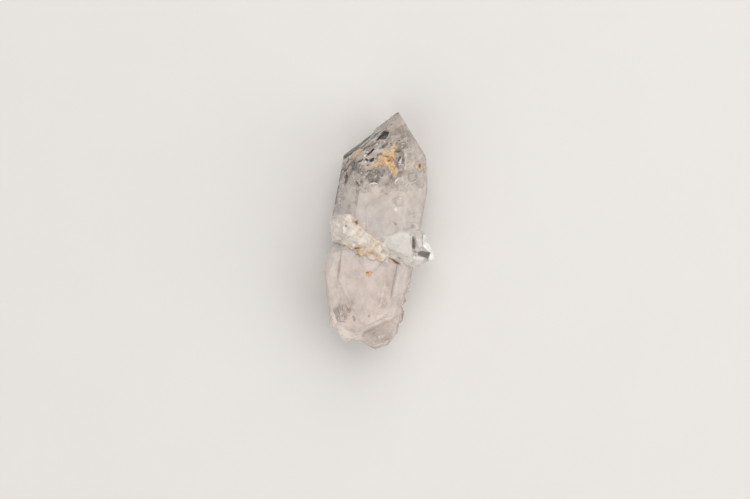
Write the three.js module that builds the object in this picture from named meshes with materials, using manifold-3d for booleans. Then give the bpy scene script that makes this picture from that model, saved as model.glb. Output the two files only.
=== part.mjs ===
// A double terminated quartz: crystals grown together round one c axis, lying on their back face.
// Millimetres. The c axis runs along Y with the sharp point at +Y, +X is the side with the side
// crystal, and +Z points up, out of the front face. Shapes are laid out with the c axis at the
// origin, and the finished mesh is then set down on z = 0 over the middle of its outline.

import * as THREE from 'three';
import { ConvexGeometry } from 'three/addons/geometries/ConvexGeometry.js';
import { mergeVertices } from 'three/addons/utils/BufferGeometryUtils.js';
import Module from 'manifold-3d';

// Angles of quartz, in degrees from the c axis to a face's normal
const prismTilt = 90;
const pointTilt = 51.8;
const steepTilt = 79;
const cornerTilt = 64;
const faceStep = 60;

// The group as a whole
const pointHeight = 25.45;
const pointOffset = 0.5;
const pointLift = 0.3;
const frontDepth = 7.3;
const backDepth = 7.3;
const footHeight = -24.75;

// The upper crystal: distances of its prism faces from the c axis, front first, then by the right
const upperSides = [frontDepth, 8.2, 8.1, backDepth, 8.05, 8.05];
const upperDrops = [0.25, 0.3, 0.5, 0, 0.3, 0];
const upperFoot = -12.6;
const bevelHeight = 17.7;
const bevelReach = 7.2;
const steepHeight = 15.8;
const steepReach = 8.2;

// The lower crystal: wide in front, with a narrow side face on the left
const lowerFront = 6.6;
const lowerSides = [lowerFront, 9.0, 6.93, backDepth, 5.64, 9.6];
const lowerTop = 5.6;
const lobeFaceTop = new THREE.Vector3(-3.5, -20.7, lowerFront);
const valley = new THREE.Vector3(0.5, -22.7, 0);

// The side crystal on the right
const sideTip = new THREE.Vector3(13.82, -4.08, 3.9);
const sideAxis = new THREE.Vector3(0.972, -0.2335, -0.035);
const sideRadius = 3.62;
const sideLength = 11.8;

const roomSize = 60;
const sameSpot = 1e-4;

const wasm = await Module();
wasm.setup();

function radians(degrees) {
  return degrees * Math.PI / 180;
}

// The outward normal of a face: azimuth 0 looks to +Z and 90 to +X, tilt 0 looks up the c axis.
function faceNormal(azimuth, tilt) {
  const around = radians(azimuth);
  const down = radians(tilt);
  return new THREE.Vector3(
    Math.sin(down) * Math.sin(around),
    Math.cos(down),
    Math.sin(down) * Math.cos(around),
  );
}

// A face with this normal through this point; depth moves it inwards.
function faceThrough(normal, point, depth = 0) {
  const outward = normal.clone().normalize();
  return { normal: outward, distance: outward.dot(point) - depth };
}

function opposite(face) {
  return { normal: face.normal.clone().negate(), distance: -face.distance };
}

// Where three faces meet, or null where two of them are parallel.
function meetingPoint(first, second, third) {
  const across = new THREE.Vector3().crossVectors(second.normal, third.normal);
  const volume = first.normal.dot(across);
  if (Math.abs(volume) < 1e-6) {
    return null;
  }
  const point = across.multiplyScalar(first.distance);
  point.addScaledVector(
    new THREE.Vector3().crossVectors(third.normal, first.normal), second.distance);
  point.addScaledVector(
    new THREE.Vector3().crossVectors(first.normal, second.normal), third.distance);
  return point.divideScalar(volume);
}

function asSolid(geometry) {
  const bare = geometry.clone();
  bare.deleteAttribute('normal');
  bare.deleteAttribute('uv');
  const merged = mergeVertices(bare, sameSpot);
  return new wasm.Manifold(new wasm.Mesh({
    numProp: 3,
    vertProperties: Float32Array.from(merged.attributes.position.array),
    triVerts: Uint32Array.from(merged.index.array),
  }));
}

// The convex solid on the inner side of all the faces, inside a room far larger than the crystal.
function solidInside(faces) {
  const walls = [[1, 0, 0], [0, 1, 0], [0, 0, 1]].flatMap((axis) => {
    const wall = { normal: new THREE.Vector3(...axis), distance: roomSize };
    return [wall, { normal: wall.normal.clone().negate(), distance: roomSize }];
  });
  const planes = [...faces, ...walls];
  const corners = [];
  for (let i = 0; i < planes.length; i += 1) {
    for (let j = i + 1; j < planes.length; j += 1) {
      for (let k = j + 1; k < planes.length; k += 1) {
        const point = meetingPoint(planes[i], planes[j], planes[k]);
        const within = point && planes.every(
          (plane) => plane.normal.dot(point) <= plane.distance + sameSpot);
        if (within && corners.every((corner) => corner.distanceTo(point) > sameSpot)) {
          corners.push(point);
        }
      }
    }
  }
  return asSolid(new ConvexGeometry(corners));
}

function prismFaces(distances) {
  return distances.map((distance, i) => ({
    normal: faceNormal(i * faceStep, prismTilt),
    distance,
  }));
}

// The six faces of a point; drops sink single faces below the tip along their normals.
function pointFaces(tip, drops, tilt = pointTilt) {
  return drops.map((drop, i) => faceThrough(faceNormal(i * faceStep, tilt), tip, drop));
}

// An uneven hollow: a scaled ball of flat facets whose corners are pushed in and out.
function hollow(centre, radii, turn = 0) {
  const ball = new THREE.IcosahedronGeometry(1, 1);
  const spots = ball.attributes.position;
  for (let i = 0; i < spots.count; i += 1) {
    const spot = new THREE.Vector3().fromBufferAttribute(spots, i);
    const wave = Math.sin(3.1 * spot.x + 2 * centre[1]) * Math.cos(2.7 * spot.y + centre[0]);
    spot.multiplyScalar(1 + 0.22 * wave);
    spots.setXYZ(i, spot.x, spot.y, spot.z);
  }
  ball.scale(...radii);
  ball.rotateZ(radians(turn));
  ball.translate(...centre);
  return asSolid(ball);
}

// A single crystal of its own, with its point at tip and its root back along its axis.
function smallCrystal({ tip, axis, radius, length, roll = 0, drops = [0, 0.1, 0, 0.12, 0, 0.08] }) {
  const local = solidInside([
    ...prismFaces(Array(6).fill(radius)),
    ...pointFaces(new THREE.Vector3(), drops.map((drop) => drop * radius)),
    { normal: new THREE.Vector3(0, -1, 0), distance: length },
  ]);
  const up = new THREE.Vector3(0, 1, 0);
  const turn = new THREE.Quaternion().setFromUnitVectors(up, axis.clone().normalize());
  const spin = new THREE.Quaternion().setFromAxisAngle(up, radians(roll));
  const place = new THREE.Matrix4().compose(tip, turn.multiply(spin), new THREE.Vector3(1, 1, 1));
  return local.transform(place.elements);
}

// Growth steps on the point: plates on the left front face end one after another short of its
// left edge, so that the face comes down to the edge in thin terraces.
function pointTerraces(body, tip) {
  const terraceRise = 0.11;
  const terraceWidths = [0.7, 1.35, 2.1, 2.7, 3.6, 4.6];
  const face = faceThrough(faceNormal(300, pointTilt), tip);
  const nextFace = faceNormal(240, pointTilt);
  const alongEdge = new THREE.Vector3().crossVectors(face.normal, nextFace).normalize();
  const towardEdge = new THREE.Vector3().crossVectors(alongEdge, face.normal).normalize();
  if (towardEdge.x > 0) {
    towardEdge.negate();
  }
  const highest = new THREE.Vector3(-3.2, 20.2, 0);
  let cut = body;
  terraceWidths.forEach((width, i) => {
    const depth = (terraceWidths.length - i) * terraceRise;
    const floor = faceThrough(face.normal, tip, depth);
    const riser = faceThrough(towardEdge.clone().addScaledVector(face.normal, 0.35), tip, width);
    const end = faceThrough(new THREE.Vector3(0.72, 0.69, 0), highest, 0.7 * i);
    cut = cut.subtract(solidInside([opposite(floor), opposite(riser), end]));
  });
  return cut;
}

// Slots and steps of hopper growth where the front of the point meets the front face.
function hopperSlots(body, tip) {
  const frontFace = faceThrough(faceNormal(0, pointTilt), tip, upperDrops[0]);
  const slant = new THREE.Vector3(-0.66, 0.75, 0);
  const slotLayout = [
    { middle: [-3.2, 16.6], length: 2.2, width: 0.55, depth: 0.5 },
    { middle: [-5.0, 15.6], length: 3.4, width: 0.5, depth: 0.42 },
    { middle: [-1.6, 18.6], length: 2.0, width: 0.9, depth: 0.45 },
    { middle: [-2.0, 14.9], length: 1.5, width: 0.5, depth: 0.5 },
    { middle: [-6.6, 12.2], length: 4.2, width: 0.4, depth: 0.3 },
  ];
  let cut = body;
  for (const slot of slotLayout) {
    const middle = new THREE.Vector3(...slot.middle, 0);
    const along = new THREE.Vector3(slant.y, -slant.x, 0).normalize();
    const sides = [slant, slant.clone().negate()].map(
      (normal) => faceThrough(normal, middle, -slot.width / 2));
    const ends = [along, along.clone().negate()].map(
      (normal) => faceThrough(normal, middle, -slot.length / 2));
    const surface = surfaceHeight(middle, frontFace);
    const floorPoint = middle.clone().setZ(surface - slot.depth);
    const floor = faceThrough(new THREE.Vector3(0.25, 0.3, 1), floorPoint);
    cut = cut.subtract(solidInside([...sides, ...ends, opposite(floor)]));
  }
  return cut;
}

// Height of the front of the upper crystal over a point: its front face, the face beside it on
// the left, or the front of the point, whichever is lowest.
function surfaceHeight(point, frontFace) {
  const besideLeft = faceNormal(300, prismTilt);
  const heights = [
    frontDepth,
    (upperSides[5] - besideLeft.x * point.x) / besideLeft.z,
    (frontFace.distance - frontFace.normal.x * point.x - frontFace.normal.y * point.y)
      / frontFace.normal.z,
  ];
  return Math.min(...heights);
}

function upperCrystal() {
  const tip = new THREE.Vector3(pointOffset, pointHeight, pointLift);
  const foot = new THREE.Vector3(0, upperFoot, 0);
  const corner = new THREE.Vector3(bevelReach, bevelHeight, 0);
  const steep = new THREE.Vector3(steepReach, steepHeight, 0);
  let body = solidInside([
    ...prismFaces(upperSides),
    ...pointFaces(tip, upperDrops),
    ...pointFaces(foot, [0, 0.3, 0, 0.2, 0, 0.2], 180 - pointTilt),
    faceThrough(faceNormal(90, cornerTilt), corner),
    faceThrough(faceNormal(82, steepTilt), steep),
    faceThrough(faceNormal(112, steepTilt), steep, -0.25),
  ]);
  body = pointTerraces(body, tip);
  body = hopperSlots(body, tip);
  return body;
}

// A low plate on a prism face, as growth leaves one: the outline is given across and along the
// face, counter-clockwise seen from outside, and each side slopes down to the face.
function facePlate({ azimuth, distance, rise, outline, slope = 1.2, sink = 0.25 }) {
  const outward = faceNormal(azimuth, prismTilt);
  const along = new THREE.Vector3(0, 1, 0);
  const across = new THREE.Vector3().crossVectors(along, outward);
  const corners = outline.map(([u, v]) => outward.clone().multiplyScalar(distance)
    .addScaledVector(across, u).addScaledVector(along, v));
  const sides = corners.map((corner, i) => {
    const edge = new THREE.Vector3().subVectors(corners[(i + 1) % corners.length], corner);
    const away = new THREE.Vector3().crossVectors(edge, outward).normalize();
    return faceThrough(away.addScaledVector(outward, slope), corner);
  });
  return solidInside([
    { normal: outward, distance: distance + rise },
    { normal: outward.clone().negate(), distance: sink - distance },
    ...sides,
  ]);
}

// Plates of late growth on the upper crystal's sides, each a little proud of the face below it.
function upperPlates() {
  const plates = [
    { side: 0, rise: 0.14, outline: [
      [-2.9, 4.0], [-1.2, -2.5], [4.4, -2.5], [4.6, 9.6], [0.3, 7.2],
    ] },
    { side: 0, rise: 0.1, outline: [[-4.7, -1.0], [-2.2, -0.6], [-2.6, 8.6], [-4.6, 9.4]] },
    { side: 0, rise: 0.24, outline: [[1.2, -2.0], [4.2, -2.2], [4.4, 1.6], [2.9, 2.4]] },
    { side: 5, rise: 0.16, outline: [[-3.9, -3.0], [3.9, -3.0], [4.0, 7.4], [-3.7, 8.9]] },
    { side: 5, rise: 0.28, outline: [[-3.6, -3.0], [1.5, -3.0], [1.2, 2.2], [-3.5, 3.1]] },
    { side: 1, rise: 0.14, outline: [[-3.6, 1.0], [3.9, 0.4], [3.7, 6.4], [-3.2, 9.0]] },
    { side: 1, rise: 0.26, outline: [[-3.0, 2.0], [3.5, 2.6], [3.3, 5.2], [-2.0, 4.1]] },
    { side: 4, rise: 0.18, outline: [[-3.7, -2.0], [3.8, -2.4], [3.6, 5.1], [-3.8, 7.0]] },
    { side: 2, rise: 0.2, outline: [[-3.8, -1.6], [3.6, -2.2], [3.0, 6.6], [-3.7, 4.2]] },
  ];
  return plates.map((plate) => facePlate({
    azimuth: plate.side * faceStep,
    distance: upperSides[plate.side],
    ...plate,
  }));
}

// The lower crystal's trunk, from its blunt top under the belt to the slanting face where it ends.
function lowerTrunk() {
  const head = new THREE.Vector3(0, lowerTop, 0);
  const leftTaper = new THREE.Vector3(-8.8, -10.6, 4);
  const endsFrom = new THREE.Vector3(1.5, -20.9, lowerFront);
  const endsTo = new THREE.Vector3(7.9, -16.3, lowerFront);
  const endSlope = new THREE.Vector3().subVectors(endsTo, endsFrom);
  const endNormal = new THREE.Vector3(endSlope.y, -endSlope.x, 0).normalize();
  endNormal.setZ(0.55);
  return solidInside([
    ...prismFaces(lowerSides),
    ...pointFaces(head, [0.4, 0.2, 0, 0.3, 0, 0.2]),
    faceThrough(faceNormal(282, 109), leftTaper),
    faceThrough(faceNormal(245, 106), leftTaper, -1.2),
    faceThrough(new THREE.Vector3(-0.36, -0.22, 0.9), new THREE.Vector3(-4.8, -13.0, lowerFront)),
    faceThrough(endNormal, endsFrom),
    faceThrough(faceNormal(352, 180 - pointTilt), lobeFaceTop),
    faceThrough(faceNormal(180, 180 - pointTilt), new THREE.Vector3(0, -18.6, -backDepth)),
    faceThrough(faceNormal(112, 124), new THREE.Vector3(8.6, -17.4, 0)),
    faceThrough(new THREE.Vector3(0.35, -0.9, -0.3), valley),
    faceThrough(new THREE.Vector3(-0.3, -0.9, -0.2), valley),
  ]);
}

// The left lobe of the lower end, with its bright front face.
function leftLobe() {
  const tip = new THREE.Vector3(-1.65, -24.7, 2.9);
  return solidInside([
    { normal: faceNormal(0, prismTilt), distance: lowerFront },
    { normal: faceNormal(180, prismTilt), distance: 5.6 },
    { normal: faceNormal(0, 0), distance: -8 },
    faceThrough(faceNormal(352, 180 - pointTilt), lobeFaceTop),
    faceThrough(faceNormal(300, prismTilt + 8), new THREE.Vector3(-5.9, -19.3, 2.5)),
    faceThrough(faceNormal(250, prismTilt + 12), new THREE.Vector3(-6.0, -19.0, 1.5)),
    faceThrough(faceNormal(72, prismTilt), new THREE.Vector3(1.3, -18, 3)),
    faceThrough(faceNormal(286, 139), tip),
    faceThrough(faceNormal(232, 138), tip),
    faceThrough(faceNormal(84, 135), tip),
    faceThrough(faceNormal(180, 129), tip),
    faceThrough(new THREE.Vector3(0.2, -1, 0.1), new THREE.Vector3(-1.6, -24.6, 2.9)),
  ]);
}

// The right lobe: a clear crystal standing back from the front, its end broken in shell shapes.
function rightLobe() {
  const tip = new THREE.Vector3(3.7, footHeight, 0.4);
  return solidInside([
    { normal: faceNormal(0, prismTilt), distance: 4.9 },
    { normal: faceNormal(180, prismTilt), distance: 6.4 },
    { normal: faceNormal(0, 0), distance: -9 },
    faceThrough(faceNormal(62, prismTilt - 2), new THREE.Vector3(8.55, -18.1, 1.2)),
    faceThrough(faceNormal(118, prismTilt), new THREE.Vector3(8.55, -18.1, 1.2)),
    faceThrough(faceNormal(285, prismTilt + 6), new THREE.Vector3(0.75, -22.8, 1.4)),
    faceThrough(faceNormal(240, prismTilt), new THREE.Vector3(-0.2, -22.8, 0)),
    faceThrough(faceNormal(6, 150), tip),
    faceThrough(faceNormal(20, 128), new THREE.Vector3(4.2, -23.3, 2.9)),
    faceThrough(faceNormal(52, 132), new THREE.Vector3(7.2, -22.6, 2.0)),
    faceThrough(faceNormal(88, 116), new THREE.Vector3(8.35, -21.1, 1.0)),
    faceThrough(faceNormal(80, 150), new THREE.Vector3(7.4, -23.4, 0.6)),
    faceThrough(faceNormal(300, 148), new THREE.Vector3(1.7, -24.7, 0.6)),
    faceThrough(faceNormal(268, 158), tip, 0.1),
    faceThrough(faceNormal(140, 132), new THREE.Vector3(6.4, -23.6, -1.4)),
    faceThrough(faceNormal(195, 128), new THREE.Vector3(3.2, -23.9, -1.8)),
  ]);
}

// Plates on the lower crystal; the first one's left side is the dark riser along its front.
function lowerPlates() {
  const plates = [
    { side: 0, rise: 0.4, slope: 0.7, outline: [
      [-5.7, -11.9], [-4.9, -13.1], [-2.7, -16.1], [0.9, -20.2], [1.7, -20.3], [5.9, -17.2],
      [6.1, -5.4], [-6.0, -5.4],
    ] },
    { side: 0, rise: 0.5, slope: 3, outline: [
      [-0.9, -17.6], [1.4, -19.2], [5.4, -16.2], [5.5, -7.2], [4.3, -7.0], [2.6, -10.4],
    ] },
    { side: 1, rise: 0.2, outline: [[-3.0, -13.4], [3.4, -11.6], [3.2, -6.4], [-3.0, -6.0]] },
    { side: 2, rise: 0.22, outline: [[-3.6, -13.2], [3.4, -15.4], [3.8, -7.4], [-3.6, -6.4]] },
    { side: 4, rise: 0.2, outline: [[-3.4, -12.4], [3.0, -13.9], [3.4, -7.4], [-3.0, -6.8]] },
  ];
  return plates.map((plate) => facePlate({
    azimuth: plate.side * faceStep,
    distance: lowerSides[plate.side],
    ...plate,
  }));
}

// The sunken three-cornered face just below the belt.
function frontNotch() {
  const corner = new THREE.Vector3(0.3, -10.1, lowerFront + 0.4);
  return solidInside([
    faceThrough(new THREE.Vector3(0.02, -0.1, -1), new THREE.Vector3(0, -8.6, lowerFront + 0.08)),
    faceThrough(new THREE.Vector3(-0.77, -0.62, 0.45), corner),
    faceThrough(new THREE.Vector3(0.8, -0.6, 0.45), corner),
  ]);
}

// The belt of small crystals round the waist. Each leans its own way out of the group.
function beltCrystals() {
  const layout = [
    { tip: [-10.15, 0.45, 2.4], axis: [-0.86, 0.46, 0.12], radius: 3.0, length: 8, roll: 8 },
    { tip: [-8.7, -0.3, 6.9], axis: [-0.62, 0.25, 0.74], radius: 2.9, length: 7, roll: 40 },
    { tip: [-9.5, -2.7, 1.4], axis: [-0.84, -0.2, 0.2], radius: 2.4, length: 7, roll: 15 },
    { tip: [-6.2, 1.9, 8.3], axis: [-0.2, 0.5, 0.84], radius: 2.3, length: 7, roll: 22 },
    { tip: [-6.6, -2.2, 8.6], axis: [-0.36, -0.28, 0.88], radius: 2.6, length: 7, roll: 50 },
    { tip: [-3.9, 0.4, 9.0], axis: [0.2, 0.6, 0.8], radius: 1.9, length: 7, roll: 10 },
    { tip: [-3.7, -2.6, 9.3], axis: [0.1, 0.1, 0.98], radius: 2.3, length: 7, roll: 33 },
    { tip: [-1.4, -0.9, 9.0], axis: [0.34, 0.5, 0.8], radius: 2.0, length: 7, roll: 5 },
    { tip: [-4.1, -4.6, 8.2], axis: [-0.25, -0.5, 0.8], radius: 1.9, length: 6, roll: 25 },
    { tip: [-1.2, -3.9, 9.2], axis: [0.05, -0.35, 0.93], radius: 2.0, length: 6, roll: 44 },
    { tip: [0.9, -2.6, 9.0], axis: [0.35, 0.3, 0.88], radius: 1.9, length: 6, roll: 12 },
    { tip: [1.6, -4.9, 8.7], axis: [0.25, -0.3, 0.92], radius: 1.8, length: 6, roll: 30 },
    { tip: [-1.9, -6.1, 7.9], axis: [-0.1, -0.6, 0.8], radius: 1.5, length: 6, roll: 8 },
    { tip: [0.7, -6.6, 7.9], axis: [0.1, -0.5, 0.86], radius: 1.4, length: 6, roll: 38 },
    { tip: [2.9, -6.4, 7.8], axis: [0.3, -0.4, 0.87], radius: 1.1, length: 6, roll: 30 },
    { tip: [-7.7, -3.9, 5.9], axis: [-0.5, -0.4, 0.75], radius: 1.9, length: 6, roll: 52 },
  ];
  return layout.map((crystal) => smallCrystal({
    ...crystal,
    tip: new THREE.Vector3(...crystal.tip),
    axis: new THREE.Vector3(...crystal.axis),
  }));
}

// The belt goes on round the sides and the back, and stays above the face that the group lies on.
function hiddenBelt() {
  const waistHeight = -4.6;
  const count = 7;
  const firstAzimuth = 118;
  const azimuthStep = 21;
  const crystals = [];
  for (let i = 0; i < count; i += 1) {
    const azimuth = firstAzimuth + i * azimuthStep;
    const outward = faceNormal(azimuth, prismTilt);
    const reach = 8.6 + 0.5 * Math.sin(2.3 * i);
    const tip = outward.clone().multiplyScalar(reach);
    tip.y = waistHeight + 1.1 * Math.sin(1.7 * i + 0.6);
    const axis = outward.clone();
    axis.y = 0.45 * Math.cos(2.1 * i);
    crystals.push(smallCrystal({ tip, axis, radius: 1.7 + 0.35 * Math.cos(1.3 * i), length: 6,
      roll: 17 * i }));
  }
  return crystals;
}

// The side crystal, its root cut back on a slant, and a small one under it.
function sideCrystal() {
  const main = smallCrystal({ tip: sideTip, axis: sideAxis, radius: sideRadius,
    length: sideLength, roll: -1.5, drops: [0.05, 0, 0.1, 0.05, 0, 0.04] });
  const slant = solidInside([
    faceThrough(new THREE.Vector3(-0.55, 0.83, 0.3), new THREE.Vector3(4.4, -0.1, 7.6)),
  ]);
  const second = smallCrystal({ tip: new THREE.Vector3(10.9, -5.9, 1.2),
    axis: new THREE.Vector3(0.84, -0.42, -0.33), radius: 1.9, length: 7, roll: 20 });
  return [main.intersect(slant), second];
}

// Shell shaped chips along the lower crystal's right edge, as shallow bites by rounded hollows.
function edgeChips() {
  const chips = [
    { centre: [10.2, -12.4, 2.4], radii: [1.5, 1.4, 2.2] },
    { centre: [9.8, -14.9, 2.6], radii: [1.4, 1.1, 2.4] },
    { centre: [8.3, -14.4, 6.6], radii: [1.4, 1.7, 1.3] },
    { centre: [7.2, -16.6, 6.9], radii: [1.3, 1.0, 0.9] },
    { centre: [9.6, -19.9, 1.6], radii: [1.25, 1.5, 1.6] },
    { centre: [8.6, -23.6, 1.2], radii: [1.6, 1.3, 1.5] },
    { centre: [5.6, -25.9, 1.4], radii: [1.1, 1.35, 1.6] },
    { centre: [2.6, -26.0, 1.2], radii: [0.9, 1.2, 1.2] },
  ];
  return chips.map((chip) => hollow(chip.centre, chip.radii));
}

// Hollows of the front: the clay pocket and its neighbours, the oval pit and the small deep spots.
function frontHollows() {
  return [
    hollow([0.55, 14.5, 7.35], [0.85, 0.6, 0.8], 25),
    hollow([-1.3, 13.6, 7.45], [1.0, 0.8, 0.5], 10),
    hollow([1.35, 12.1, 7.45], [0.6, 1.1, 0.5], -15),
    hollow([6.35, 12.25, 5.9], [0.35, 0.8, 0.5], 10),
    hollow([2.85, 6.35, 7.4], [0.42, 0.58, 0.35], 10),
    hollow([-5.5, 9.2, 7.3], [0.5, 0.3, 0.4], 35),
  ];
}

function joined(solids) {
  return solids.reduce((whole, solid) => whole.add(solid));
}

function withoutAll(body, cutters) {
  return cutters.reduce((rest, cutter) => rest.subtract(cutter), body);
}

function crystalGroup() {
  const lower = joined([lowerTrunk(), ...lowerPlates()]).subtract(frontNotch());
  const lowerEnd = withoutAll(joined([lower, leftLobe(), rightLobe()]), edgeChips());
  const upper = withoutAll(joined([upperCrystal(), ...upperPlates()]), frontHollows());
  const group = joined([
    upper, lowerEnd, ...beltCrystals(), ...hiddenBelt(), ...sideCrystal(),
  ]);
  const restFace = { normal: new THREE.Vector3(0, 0, -1), distance: backDepth };
  return group.intersect(solidInside([restFace]));
}

// The solid as a geometry, set down on z = 0 with the middle of its outline over the origin.
function groupGeometry() {
  const mesh = crystalGroup().getMesh();
  const geometry = new THREE.BufferGeometry();
  geometry.setAttribute('position', new THREE.BufferAttribute(mesh.vertProperties, 3));
  geometry.setIndex(new THREE.BufferAttribute(mesh.triVerts, 1));
  geometry.computeBoundingBox();
  const middle = geometry.boundingBox.getCenter(new THREE.Vector3());
  geometry.translate(-middle.x, -middle.y, -geometry.boundingBox.min.z);
  geometry.computeVertexNormals();
  return geometry;
}

const quartz = new THREE.MeshStandardMaterial({
  color: new THREE.Color(0.86, 0.84, 0.83),
  roughness: 0.12,
  metalness: 0,
  transparent: true,
  opacity: 0.6,
});

const group = new THREE.Group();
const crystal = new THREE.Mesh(groupGeometry(), quartz);
crystal.name = 'quartz_crystal';
group.add(crystal);

export default group;
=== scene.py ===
import math
import random
import bmesh
import bpy
from mathutils import Matrix, Vector, noise
from mathutils.bvhtree import BVHTree


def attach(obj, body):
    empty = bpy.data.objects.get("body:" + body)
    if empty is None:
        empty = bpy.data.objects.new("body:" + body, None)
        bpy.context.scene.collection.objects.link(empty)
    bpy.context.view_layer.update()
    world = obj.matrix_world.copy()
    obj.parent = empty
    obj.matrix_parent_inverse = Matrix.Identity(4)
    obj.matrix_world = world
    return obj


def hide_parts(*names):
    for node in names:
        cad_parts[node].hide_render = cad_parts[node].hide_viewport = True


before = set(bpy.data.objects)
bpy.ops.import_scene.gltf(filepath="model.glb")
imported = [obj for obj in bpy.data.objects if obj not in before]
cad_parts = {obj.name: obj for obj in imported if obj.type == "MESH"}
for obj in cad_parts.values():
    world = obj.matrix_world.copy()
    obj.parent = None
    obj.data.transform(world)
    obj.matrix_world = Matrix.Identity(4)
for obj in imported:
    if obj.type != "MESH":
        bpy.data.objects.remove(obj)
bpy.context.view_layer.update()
print("frame loaded")

# Everything below is laid out in millimetres from the c axis: x to the side crystal, y to the
# sharp point, z out of the front face. These carry it to the frame that the parts share, in metres.
mm = 0.001
axisPlace = Vector((-1.8655, 0.0863, 7.3))

view = {
    "tilt": 10.5,  # degrees that the c axis leans in the picture
    "aim": (0.8, -4.35),  # what the camera looks down on
    "wide": 157.5,  # millimetres across the picture at the c axis
    "lens": 100,
    "sensor": 36,
}


def place(x, y, z):
    return (Vector((x, y, z)) + axisPlace) * mm


def setCamera():
    data = bpy.data.cameras.new("camera")
    data.lens = view["lens"]
    data.sensor_width = view["sensor"]
    camera = bpy.data.objects.new("camera", data)
    bpy.context.collection.objects.link(camera)
    distance = view["wide"] * view["lens"] / view["sensor"]
    camera.location = place(*view["aim"], distance)
    camera.rotation_euler = (0, 0, math.radians(view["tilt"]))
    data.clip_start = 0.01
    data.clip_end = 10
    bpy.context.scene.camera = camera


setCamera()
print("camera set")


class Wire:  # one output of a node, so that shader maths can be written as plain maths
    def __init__(self, finish, socket):
        self.finish = finish
        self.socket = socket

    def maths(self, operation, first, second):
        return self.finish.node("Math", {"operation": operation}, {0: first, 1: second})

    def __add__(self, other):
        return self.maths("ADD", self, other)

    def __sub__(self, other):
        return self.maths("SUBTRACT", self, other)

    def __rsub__(self, other):
        return self.maths("SUBTRACT", other, self)

    def __mul__(self, other):
        return self.maths("MULTIPLY", self, other)

    def __pow__(self, other):
        return self.maths("POWER", self, other)

    def __rpow__(self, other):
        return self.maths("POWER", other, self)

    __radd__ = __add__
    __rmul__ = __mul__


class Finish:  # a material and its node tree
    def __init__(self, name):
        self.material = bpy.data.materials.new(name)
        self.material.use_nodes = True
        self.tree = self.material.node_tree
        self.tree.nodes.clear()
        self.output = self.tree.nodes.new("ShaderNodeOutputMaterial")

    def node(self, kind, settings=None, sockets=None, out=0):
        made = self.tree.nodes.new("ShaderNode" + kind)
        for name, value in (settings or {}).items():
            if name == "stops":
                self.setStops(made.color_ramp, value)
            else:
                setattr(made, name, value)
        for name, value in (sockets or {}).items():
            socket = made.inputs[name]
            if isinstance(value, Wire):
                self.tree.links.new(value.socket, socket)
            elif socket.type == "RGBA":
                socket.default_value = (*value, 1)
            else:
                socket.default_value = value
        return Wire(self, made.outputs[out])

    def setStops(self, ramp, stops):
        while len(ramp.elements) < len(stops):
            ramp.elements.new(0.5)
        for element, (at, colour) in zip(ramp.elements, stops):
            element.position = at
            element.color = (*colour, 1)

    def show(self, surface, volume=None):
        self.tree.links.new(surface.socket, self.output.inputs["Surface"])
        if volume:
            self.tree.links.new(volume.socket, self.output.inputs["Volume"])

    def spots(self):  # where a point lies, in millimetres from the c axis
        coordinate = self.node("TexCoord", out=3)
        scaled = self.node("VectorMath", {"operation": "SCALE"}, {0: coordinate, "Scale": 1 / mm})
        return self.node("VectorMath", {"operation": "SUBTRACT"}, {0: scaled, 1: tuple(axisPlace)})

    def parts(self, vector):
        split = self.node("SeparateXYZ", sockets={0: vector})
        return [Wire(self, socket) for socket in split.socket.node.outputs]

    def cloud(self, vector, size, detail=3, rough=0.55):
        return self.node("TexNoise", {}, {
            "Vector": vector, "Scale": 1 / size, "Detail": detail, "Roughness": rough})

    def cells(self, vector, size, feature="F1", out=0):
        return self.node("TexVoronoi", {"feature": feature}, {"Vector": vector, "Scale": 1 / size}, out)

    def ease(self, value, low, high, start=0.0, end=1.0, steady=False):
        kind = "LINEAR" if steady else "SMOOTHSTEP"  # the smooth one needs no clamp
        return self.node("MapRange", {"interpolation_type": kind, "clamp": steady}, {
            "Value": value, "From Min": low, "From Max": high, "To Min": start, "To Max": end})

    def dot(self, vector, other):  # one number from two vectors
        return self.node("VectorMath", {"operation": "DOT_PRODUCT"}, {0: vector, 1: other}, out=1)

    def mark(self, vector, x, y, long, wide, turn, strength, soft=0.5):  # an oval seen from the front
        lean = math.radians(turn)
        away = self.node("VectorMath", {"operation": "SUBTRACT"}, {0: vector, 1: (x, y, 0)})
        along = self.dot(away, (math.cos(lean) / long, math.sin(lean) / long, 0))
        across = self.dot(away, (-math.sin(lean) / wide, math.cos(lean) / wide, 0))
        reach = (along * along + across * across) ** 0.5
        return self.ease(reach, 1 + soft / 2, 1 - soft / 2, 0.0, strength)

    def facet(self, vector, corners, strength, soft=0.14):  # a flat-sided patch seen from the front
        inside = strength
        for (x0, y0), (x1, y1) in zip(corners, corners[1:] + corners[:1]):
            length = math.hypot(x1 - x0, y1 - y0)
            inward = ((y0 - y1) / length, (x1 - x0) / length, 0)
            reach = self.dot(vector, inward)
            start = inward[0] * x0 + inward[1] * y0
            inside = self.ease(reach, start - soft / 2, start + soft / 2) * inside
        return inside

    def track(self, along, points, low, high):  # the height of a bent line
        first, last = points[0][0], points[-1][0]
        stops = [((at - first) / (last - first), [(value - low) / (high - low)] * 3)
                 for at, value in points]
        share = self.ease(along, first, last, steady=True)
        return self.node("ValToRGB", {"stops": stops}, {0: share}) * (high - low) + low

    def most(self, masks):
        whole = masks[0]
        for mask in masks[1:]:
            whole = self.node("Math", {"operation": "MAXIMUM"}, {0: whole, 1: mask})
        return whole

    def blend(self, share, first, second):  # colours
        return self.node("Mix", {"data_type": "RGBA"}, {0: share, 6: first, 7: second}, out=2)

    def layer(self, share, below, above):  # shaders
        return self.node("MixShader", sockets={0: share, 1: below, 2: above})


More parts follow.
